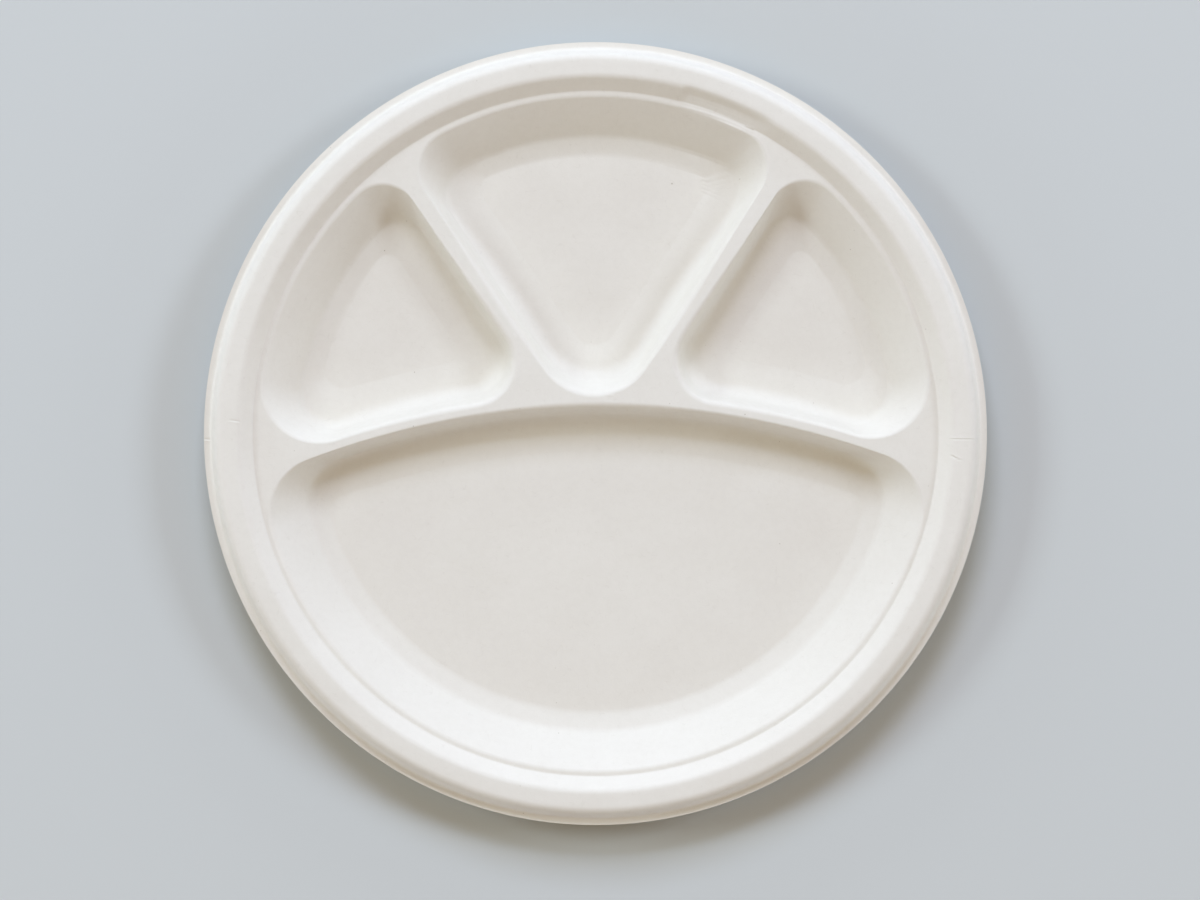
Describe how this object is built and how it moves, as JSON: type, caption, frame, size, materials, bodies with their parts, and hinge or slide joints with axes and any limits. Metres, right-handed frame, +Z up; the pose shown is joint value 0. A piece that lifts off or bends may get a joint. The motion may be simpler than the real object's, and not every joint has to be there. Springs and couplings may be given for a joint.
{
  "type": "compartment plate",
  "caption": "Round disposable plate pressed from moulded fibre, with a raised rim and separate pockets for food: a wedge, a pocket on either side of it and a large half-moon.",
  "frame": {"origin": "centre of the plate on the plane of the floors' underside, which is the surface it stands on", "axes": "+Z up out of the plate's open side, +Y from the centre towards the wedge-shaped pocket, +X to the right as seen from above"},
  "size_m": [0.28, 0.28, 0.02],
  "materials": {
    "fibre": "matt"
  },
  "bodies": {
    "root": {"plate": "fibre"}
  },
  "joints": []
}
